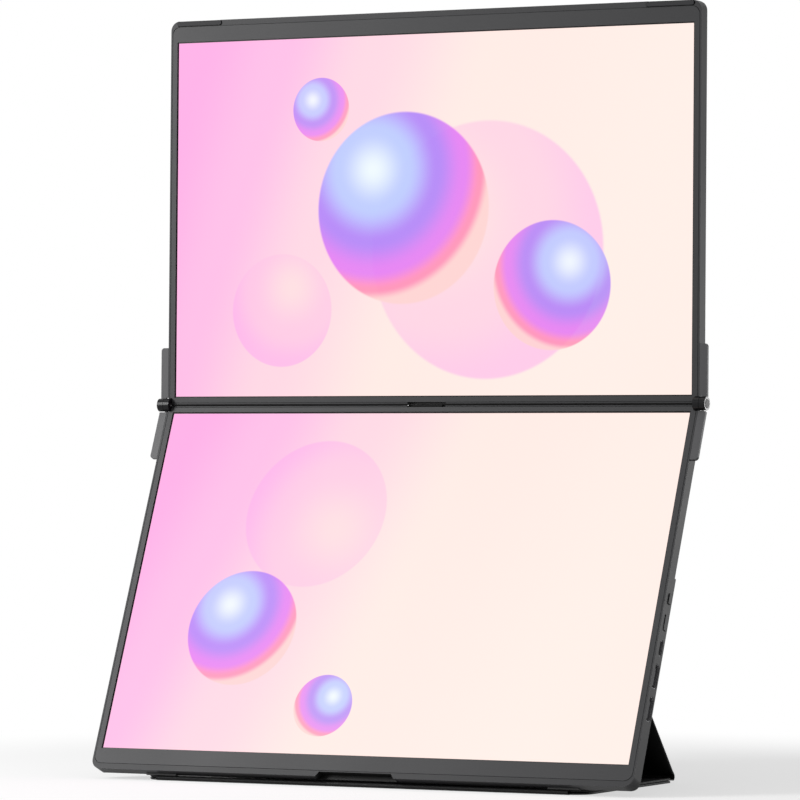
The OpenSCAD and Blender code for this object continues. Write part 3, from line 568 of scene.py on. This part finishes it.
def screens():
    """Pictures of the two displays."""
    upper = screen_picture("upper_picture", UPPER_ORBS)
    lower = screen_picture("lower_picture", LOWER_ORBS)
    lit_picture("upper_lit_picture", "upper_lcd_cell", UPPER, "upper_display", upper)
    lit_picture("lower_lit_picture", "lower_lcd_cell", LOWER, "lower_display", lower)


# ---- Cable sleeve and seal in the seam ----

# Bars in the lower display's own frame, in millimetres: where they start and end along x, their
# low and high corner in y and z, and the rounding of their long edges
SLEEVE_BODY = ((-10.4, 10.4), (1.05, -0.5), (2.03, 1.0), 0.3)
SLEEVE_WEB = ((-12.78, 12.78), (2.05, -1.0), (2.43, 1.0), 0.12)

# The same for the seal on the right, with its start alone
SEAL_STRIP = (13.1, (0.0, 0.0), (3.05, 0.18), 0.05)
SEAL_BEAD = (10.5, (-0.44, -0.44), (0.44, 0.44), 0.43)


def rounded_bar(bm, matrix, ends_x, low, high, round_by):
    """Bar along x with rounded long edges, from low to high in y and z, in millimetres."""
    profile = []
    (y0, z0), (y1, z1) = low, high
    corners = (
        (y1 - round_by, z1 - round_by, 0), (y0 + round_by, z1 - round_by, 90),
        (y0 + round_by, z0 + round_by, 180), (y1 - round_by, z0 + round_by, 270),
    )
    for cy, cz, start in corners:
        for i in range(5):
            a = math.radians(start + 22.5 * i)
            profile.append((cy + round_by * math.cos(a), cz + round_by * math.sin(a)))
    ends = []
    for x in ends_x:
        ends.append([bm.verts.new(matrix @ (Vector((x, y, z)) * MM)) for y, z in profile])
    count = len(profile)
    for i in range(count):
        j = (i + 1) % count
        bm.faces.new((ends[0][i], ends[0][j], ends[1][j], ends[1][i]))
    for ring in ends:
        bm.faces.new(ring)


def rubber_piece(name, bars, material, node):
    """Soft piece in the seam, made of rounded bars."""
    bm = bmesh.new()
    for bar in bars:
        rounded_bar(bm, LOWER, *bar)
    mesh = mesh_of(name, bm)
    smooth_by_angle(mesh, SOFT_ANGLE)
    piece(name, mesh, material, "lower_display", "dark_rubber", node)


def seam_rubber():
    """Soft cable sleeve with its web, and the seal whose beads run on to the sleeve's ends."""
    rubber_piece("cable_sleeve", (SLEEVE_BODY, SLEEVE_WEB), SLEEVE, "seam_cable_sleeve")
    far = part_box("seam_seal")[1].x / MM
    bars = []
    for side in (-1, 1):
        for start, low, high, round_by in (SEAL_STRIP, SEAL_BEAD):
            bars.append(((side * start, side * far), low, high, round_by))
    rubber_piece("seam_seal_strips", bars, SEAL, "seam_seal")


# ---- Cover ----

def rounded_outline(half, y0, y1, r_front, r_back, steps=8):
    """Outline in x and y of a flap, with rounded corners."""
    points = []
    corners = [
        (half - r_front, y0 + r_front, r_front, -90), (half - r_back, y1 - r_back, r_back, 0),
        (-half + r_back, y1 - r_back, r_back, 90), (-half + r_front, y0 + r_front, r_front, 180),
    ]
    for cx, cy, r, start in corners:
        for i in range(steps + 1):
            a = math.radians(start + 90 * i / steps)
            points.append((cx + r * math.cos(a), cy + r * math.sin(a)))
    return points


def flap_mesh(name, outline, to_world, skin_side):
    """Flap with rolled edges: skin on one side, lining on the other, edge of turned leather."""
    bm = bmesh.new()
    rounding = FLAP_ROUND
    levels = [
        (0.0, rounding), (rounding * 0.3, rounding * 0.3), (rounding, 0.0),
        (FLAP_T - rounding, 0.0), (FLAP_T - rounding * 0.3, rounding * 0.3), (FLAP_T, rounding),
    ]
    centre = Vector((sum(p[0] for p in outline), sum(p[1] for p in outline))) / len(outline)
    xs = [p[0] for p in outline]
    ys = [p[1] for p in outline]
    half_x, half_y = (max(xs) - min(xs)) / 2, (max(ys) - min(ys)) / 2
    rings = []
    for height, inset in levels:
        kx = (half_x - inset) / half_x
        ky = (half_y - inset) / half_y
        ring = []
        for x, y in outline:
            point = Vector((centre.x + (x - centre.x) * kx, centre.y + (y - centre.y) * ky, height))
            ring.append(bm.verts.new(to_world @ point))
        rings.append(ring)
    count = len(outline)
    for low, high in zip(rings, rings[1:]):
        for i in range(count):
            j = (i + 1) % count
            bm.faces.new((low[i], low[j], high[j], high[i]))
    bottom = bm.faces.new(list(reversed(rings[0])))
    top = bm.faces.new(rings[-1])
    (bottom if skin_side == "top" else top).material_index = 1
    mesh = mesh_of(name, bm)
    mesh.materials.append(MATERIALS["cover_leather"])
    mesh.materials.append(MATERIALS["cover_lining"])
    return mesh


def flap_piece(name, body, outline, to_world, skin_side, *nodes):
    """One flap of the cover."""
    mesh = flap_mesh(name, outline, to_world, skin_side)
    smooth_by_angle(mesh, SOFT_ANGLE)
    piece(name, mesh, None, body, "cover_leather", *nodes)


# Slight waves of the bare leather along a fold
RIPPLE = 0.03 * MM
RIPPLE_STEPS = 40


def crease_strip(name, path, width, thickness, bodies, start, end, *nodes):
    """Bare leather between two flaps, along a path of points in the side view."""
    bm = bmesh.new()
    sides = []
    for index, point in enumerate(path):
        before = path[max(index - 1, 0)]
        after = path[min(index + 1, len(path) - 1)]
        direction = (after - before).normalized()
        normal = Vector((0, -direction.z, direction.y))
        sides.append((point, point + normal * thickness))
    columns = []
    for k in range(RIPPLE_STEPS + 1):
        x = -width + 2 * width * k / RIPPLE_STEPS
        ripple = RIPPLE * math.sin(k * 2.4) * math.sin(k * 0.7)
        column = []
        for outer, inner in sides:
            lift = (outer - inner).normalized() * ripple
            column.append((
                bm.verts.new(Vector((x, 0, 0)) + outer + lift),
                bm.verts.new(Vector((x, 0, 0)) + inner),
            ))
        columns.append(column)
    for a, b in zip(columns, columns[1:]):
        for i in range(len(path) - 1):
            bm.faces.new((a[i][0], b[i][0], b[i + 1][0], a[i + 1][0]))
            bm.faces.new((a[i][1], a[i + 1][1], b[i + 1][1], b[i][1]))
        for i in (0, len(path) - 1):
            bm.faces.new((a[i][0], a[i][1], b[i][1], b[i][0]))
    for column in (columns[0], columns[-1]):
        for i in range(len(path) - 1):
            bm.faces.new((column[i][0], column[i + 1][0], column[i + 1][1], column[i][1]))
    mesh = mesh_of(name, bm)
    smooth_by_angle(mesh, SOFT_ANGLE)
    obj = piece(name, mesh, MATERIALS["cover_leather"], None, "cover_leather", *nodes)
    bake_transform(obj)


def arc(centre, r0, r1, a0, a1, steps=14):
    """Points of a spiral arc in the side view, angles in degrees from +y."""
    points = []
    for i in range(steps + 1):
        t = i / steps
        r = r0 + (r1 - r0) * t
        a = math.radians(a0 + (a1 - a0) * t)
        points.append(centre + Vector((0, r * math.cos(a), r * math.sin(a))))
    return points


# How far the bare leather laps over the flaps beside a fold, and where the leg's boards begin
LEG_LAP = 2.2 * MM
FLAT_LAP = 0.8 * MM
TOP_LAP = 1.6 * MM
LEG_START = 1.2 * MM


def cover():
    """Plate, leg, base and flap, with a leather crease at each fold."""
    half = COVER_HALF
    low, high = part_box("cover_base_skin")
    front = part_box("cover_flap_lining")[0][1]
    rear = high[1]
    flat_z = FLAP_T + FLAP_GAP

    # Plate on the display's back, in the lower display's own frame
    heights = [p.z for p in own_points("cover_plate_skin", LOWER)]
    z0, z1 = min(heights), max(heights)
    inner = min(p.y for p in own_points("cover_plate_lining", LOWER))
    turn = LOWER @ Matrix(((1, 0, 0, 0), (0, 0, 1, inner), (0, 1, 0, 0), (0, 0, 0, 1)))
    outline = rounded_outline(half, z0, z1, PLATE_CORNER_R, SQUARE_R)
    flap_piece("cover_plate", "lower_display", outline, turn, "top",
               "cover_plate_skin", "cover_plate_board", "cover_plate_lining")

    # Leg: y runs from the rear fold up to the top fold
    up_leg = -ALONG
    base = REAR_FOLD + OUTWARD * (REAR_FOLD.z - FLAP_T)
    axes = (Vector((1, 0, 0)), up_leg, OUTWARD, base)
    leg = Matrix([[axis[row] for axis in axes] for row in range(3)] + [[0, 0, 0, 1]])
    outline = rounded_outline(half, LEG_START, LEG_LEN - FOLD_SKIM, SQUARE_R, SQUARE_R)
    flap_piece("cover_leg", "stand_leg", outline, leg, "top", "cover_leg_board", "cover_leg_lining")

    # Base and front flap lie on each other
    outline = rounded_outline(half, front, rear, CORNER_R, SQUARE_R)
    flap_piece("cover_base", "stand_base", outline, Matrix.Translation((0, 0, flat_z)), "bottom",
               "cover_base_board", "cover_base_lining")
    flap_piece("cover_flap", "front_flap", outline, Matrix.Identity(4), "top",
               "cover_flap_skin", "cover_flap_board", "cover_flap_lining")

    # Creases
    out_angle = math.degrees(math.atan2(OUTWARD.z, OUTWARD.y))
    roll = REAR_FOLD.z
    path = [base + OUTWARD * FLAP_T + up_leg * LEG_LAP]
    path += arc(REAR_FOLD, roll, roll - FLAP_T, out_angle, -90, 22)
    path.append(Vector((0, rear - FLAT_LAP, flat_z)))
    crease_strip("rear_crease", path, half, -SKIN * 1.5, ("stand_leg", "stand_base"),
                 REAR_FOLD + Vector((0, 0.6 * roll, 0.7 * roll)), REAR_FOLD + Vector((0, -1.1 * roll, -0.4 * roll)),
                 "cover_leg_skin")
    path = [Vector((0, front + FLAT_LAP, 2 * FLAP_T + FLAP_GAP))]
    path += arc(FRONT_FOLD, FRONT_FOLD.z, FRONT_FOLD.z, 90, 270, 18)
    path.append(Vector((0, front + FLAT_LAP, 0)))
    crease_strip("front_crease", path, half - CORNER_R, SKIN, ("stand_base", "front_flap"),
                 FRONT_FOLD + Vector((0, 0, 1.2 * MM)), FRONT_FOLD - Vector((0, 0, 1.2 * MM)),
                 "cover_base_skin")
    lower_up = (LOWER.to_3x3() @ Vector((0, 0, -1))).normalized()
    lower_out = (LOWER.to_3x3() @ Vector((0, 1, 0))).normalized()
    path = [TOP_FOLD + lower_up * TOP_LAP - lower_out * FOLD_OUT]
    a0 = math.degrees(math.atan2(lower_out.z, lower_out.y))
    path += arc(TOP_FOLD, FOLD_OUT, FOLD_OUT, a0 + 90, out_angle, 6)
    path.append(TOP_FOLD + ALONG * TOP_LAP - OUTWARD * FOLD_OUT)
    crease_strip("top_crease", path, half - 1 * MM, -SKIN, ("lower_display", "stand_leg"),
                 TOP_FOLD + lower_up * (1.0 * MM), TOP_FOLD + ALONG * (1.0 * MM))
    return leg, turn


# ---- Stitches ----

def stitch_tree():
    """Geometry nodes: short rounded stitches along a line."""
    tree = bpy.data.node_groups.new("stitches", "GeometryNodeTree")
    socket(tree, "INPUT", "Line", "NodeSocketGeometry")
    socket(tree, "INPUT", "Pitch", "NodeSocketFloat", STITCH_PITCH)
    socket(tree, "INPUT", "Length", "NodeSocketFloat", STITCH_LEN)
    socket(tree, "INPUT", "Radius", "NodeSocketFloat", STITCH_R)
    socket(tree, "INPUT", "Thread", "NodeSocketMaterial")
    socket(tree, "OUTPUT", "Stitches", "NodeSocketGeometry")
    add, link = tree.nodes.new, tree.links.new
    source, out = add("NodeGroupInput"), add("NodeGroupOutput")
    curve = add("GeometryNodeMeshToCurve")
    points = add("GeometryNodeResampleCurve")
    points.mode = "LENGTH"
    capsule = add("GeometryNodeMeshUVSphere")
    capsule.inputs["Segments"].default_value = 8
    capsule.inputs["Rings"].default_value = 6
    capsule.inputs["Radius"].default_value = 1.0
    shape = add("GeometryNodeTransform")
    half = add("ShaderNodeMath")
    half.operation = "MULTIPLY"
    half.inputs[1].default_value = 0.5
    size = add("ShaderNodeCombineXYZ")
    tangent = add("GeometryNodeInputTangent")
    turn = add("FunctionNodeAlignEulerToVector")
    turn.axis = "Z"
    place = add("GeometryNodeInstanceOnPoints")
    real = add("GeometryNodeRealizeInstances")
    paint = add("GeometryNodeSetMaterial")
    link(source.outputs["Line"], curve.inputs["Mesh"])
    link(curve.outputs["Curve"], points.inputs["Curve"])
    link(source.outputs["Pitch"], points.inputs["Length"])
    link(source.outputs["Length"], half.inputs[0])
    link(source.outputs["Radius"], size.inputs["X"])
    link(source.outputs["Radius"], size.inputs["Y"])
    link(half.outputs[0], size.inputs["Z"])
    link(capsule.outputs["Mesh"], shape.inputs["Geometry"])
    link(size.outputs["Vector"], shape.inputs["Scale"])
    link(tangent.outputs["Tangent"], turn.inputs["Vector"])
    link(points.outputs["Curve"], place.inputs["Points"])
    link(shape.outputs["Geometry"], place.inputs["Instance"])
    link(turn.outputs["Rotation"], place.inputs["Rotation"])
    link(place.outputs["Instances"], real.inputs["Geometry"])
    link(real.outputs["Geometry"], paint.inputs["Geometry"])
    link(source.outputs["Thread"], paint.inputs["Material"])
    link(paint.outputs["Geometry"], out.inputs["Stitches"])
    return tree


BORDER_STITCH = (STITCH_PITCH, STITCH_LEN, STITCH_R)


def stitch_line(name, points, body, tree, closed=True, sizes=BORDER_STITCH, thread=THREAD):
    """A row of stitches along a line of points."""
    line = bpy.data.meshes.new(name + "_line")
    count = len(points)
    edges = [(i, (i + 1) % count) for i in range(count if closed else count - 1)]
    line.from_pydata(points, edges, [])
    obj = bpy.data.objects.new(name + "_line", line)
    bpy.context.scene.collection.objects.link(obj)
    modifier = obj.modifiers.new("stitches", "NODES")
    modifier.node_group = tree
    inputs = {i.name: i.identifier for i in tree.interface.items_tree if i.in_out == "INPUT"}
    for label, size in zip(("Pitch", "Length", "Radius"), sizes):
        modifier[inputs[label]] = size
    modifier[inputs["Thread"]] = thread
    bpy.context.view_layer.update()
    graph = bpy.context.evaluated_depsgraph_get()
    mesh = bpy.data.meshes.new_from_object(obj.evaluated_get(graph))
    bpy.data.objects.remove(obj)
    mesh.shade_smooth()
    piece(name, mesh, thread, body, "cover_leather")


def stitching(leg, plate):
    """Stitched border on the leg and on the back plate, and overcast front and leg edges."""
    tree = stitch_tree()
    half = COVER_HALF - STITCH_INSET
    proud = FLAP_T + 0.3 * STITCH_R
    ring = rounded_outline(half, STITCH_INSET + 1.5 * MM, LEG_LEN - STITCH_INSET, 2 * MM, 2 * MM, 4)
    stitch_line("leg_stitches", [leg @ Vector((x, y, proud)) for x, y in ring], "stand_leg", tree)
    zs = [p.z for p in own_points("cover_plate_skin", LOWER)]
    ring = rounded_outline(half, min(zs) + STITCH_INSET, max(zs) - STITCH_INSET, 4 * MM, 2 * MM, 4)
    stitch_line("plate_stitches", [plate @ Vector((x, y, proud)) for x, y in ring], "lower_display", tree)

    # Fine overcast edge: along the fronts of the base and of the front flap, and the leg's sides
    half = COVER_HALF
    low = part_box("cover_flap_lining")[0]
    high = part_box("cover_base_lining")[1]
    levels = (("flap_edge", "front_flap", FLAP_T / 2), ("base_edge", "stand_base", FLAP_T * 1.5 + FLAP_GAP))
    for name, body, height in levels:
        outline = rounded_outline(half, low.y, high.y, CORNER_R, SQUARE_R, 6)
        count = len(outline) // 4
        front = outline[3 * count:] + outline[:count]
        points = [Vector((x, y, height)) for x, y in front]
        stitch_line(name, points, body, tree, False, EDGE_STITCH, EDGE_THREAD)
    ends = ((half, LEG_LEN - 2 * MM), (half, 3 * MM))
    for side in (-1, 1):
        points = [leg @ Vector((side * x, y, FLAP_T / 2)) for x, y in ends]
        name = "leg_edge_right" if side > 0 else "leg_edge_left"
        stitch_line(name, points, "stand_leg", tree, False, EDGE_STITCH, EDGE_THREAD)


# ---- Stage ----

FLOOR_FADE = (0.30, 0.55)
FLOOR_GLOW = 0.6
FLOOR_DIM = (0.22, 0.22, 0.22, 1)
FLOOR_PALE = (0.92, 0.92, 0.92, 1)
FLOOR_DROP = 0.05 * MM
FLOOR_HALF = 8.0
FILL = 0.26


def floor_material():
    """Pale matte floor: shadow near the object, white further off, and little light thrown back."""
    material, tree, shader, place = new_material("pale_floor")
    shader.inputs["Roughness"].default_value = 0.9
    shader.inputs["Specular IOR Level"].default_value = 0.0
    white = tree.nodes.new("ShaderNodeEmission")
    length = tree.nodes.new("ShaderNodeVectorMath")
    length.operation = "LENGTH"
    tree.links.new(place.outputs["Object"], length.inputs[0])
    far = tree.nodes.new("ShaderNodeMapRange")
    far.interpolation_type = "SMOOTHSTEP"
    far.inputs["From Min"].default_value = FLOOR_FADE[0]
    far.inputs["From Max"].default_value = FLOOR_FADE[1]
    far.inputs["To Min"].default_value = FLOOR_GLOW
    tree.links.new(length.outputs["Value"], far.inputs["Value"])
    seen = seen_ray(tree)
    tone = tree.nodes.new("ShaderNodeMix")
    tone.data_type = "RGBA"
    tone.inputs["A"].default_value = FLOOR_DIM
    tone.inputs["B"].default_value = FLOOR_PALE
    tree.links.new(seen, tone.inputs["Factor"])
    tree.links.new(tone.outputs["Result"], shader.inputs["Base Color"])
    mix = tree.nodes.new("ShaderNodeMixShader")
    tree.links.new(calc(tree, "MULTIPLY", far.outputs["Result"], seen), mix.inputs["Fac"])
    tree.links.new(shader.outputs["BSDF"], mix.inputs[1])
    tree.links.new(white.outputs["Emission"], mix.inputs[2])
    tree.links.new(mix.outputs["Shader"], tree.nodes["Material Output"].inputs["Surface"])
    return material


def floor():
    """Plain pale floor."""
    bm = bmesh.new()
    size = FLOOR_HALF
    corners = [(-size, -size), (size, -size), (size, size), (-size, size)]
    bm.faces.new([bm.verts.new((x, y, -FLOOR_DROP)) for x, y in corners])
    mesh = bpy.data.meshes.new("floor")
    bm.to_mesh(mesh)
    bm.free()
    obj = bpy.data.objects.new("floor", mesh)
    bpy.context.scene.collection.objects.link(obj)
    mesh.materials.append(floor_material())


def world():
    """White surroundings to the camera and in reflections, and soft light from all round."""
    sky = bpy.data.worlds.new("soft_surroundings")
    bpy.context.scene.world = sky
    sky.use_nodes = True
    tree = sky.node_tree
    back = tree.nodes["Background"]
    back.inputs["Color"].default_value = (1, 1, 1, 1)
    strength = calc(tree, "ADD", calc(tree, "MULTIPLY", seen_ray(tree), 1 - FILL), FILL)
    tree.links.new(strength, back.inputs["Strength"])


def lamp(name, place, target, size, power):
    """Soft rectangular lamp that faces a target."""
    data = bpy.data.lights.new(name, "AREA")
    data.shape = "RECTANGLE"
    data.size, data.size_y = size
    data.energy = power
    obj = bpy.data.objects.new(name, data)
    obj.location = place
    obj.rotation_euler = (Vector(target) - Vector(place)).to_track_quat("-Z", "Y").to_euler()
    bpy.context.scene.collection.objects.link(obj)


def lights():
    """Tall key light at the front left, soft light from above, and a strip behind at the right."""
    lamp("front_left", (-0.95, -0.92, 0.72), (-0.15, 0.0, 0.27), (0.45, 0.9), 21)
    lamp("top", (0.1, -0.1, 1.9), (0, 0, 0.1), (1.6, 1.6), 6)
    lamp("behind_right", (1.15, 1.7, 0.20), (0.18, 0.0, 0.22), (0.5, 0.16), 4)


# ---- Camera ----

CAMERA_FROM_SEAM = Vector((1412.0, -2714.9, -14.6)) * MM
CAMERA_YAW = math.radians(27.768)
CAMERA_PITCH = math.radians(0.322)
CAMERA_ROLL = math.radians(-0.028)
LENS = 232.0


def camera():
    """Camera of the photograph, placed from the seam between the displays."""
    data = bpy.data.cameras.new("camera")
    data.lens = LENS
    data.sensor_width = 36.0
    data.clip_end = 50.0
    obj = bpy.data.objects.new("camera", data)
    obj.location = HINGE + CAMERA_FROM_SEAM
    turn = Matrix.Rotation(CAMERA_YAW, 4, "Z") @ Matrix.Rotation(math.radians(90) + CAMERA_PITCH, 4, "X")
    obj.rotation_euler = (turn @ Matrix.Rotation(CAMERA_ROLL, 4, "Z")).to_euler()
    bpy.context.scene.collection.objects.link(obj)
    bpy.context.scene.camera = obj


bpy.context.scene.view_settings.view_transform = "Standard"
camera()
paint_frame()
screens()
seam_rubber()
LEG_MATRIX, PLATE_MATRIX = cover()
stitching(LEG_MATRIX, PLATE_MATRIX)
floor()
world()
lights()
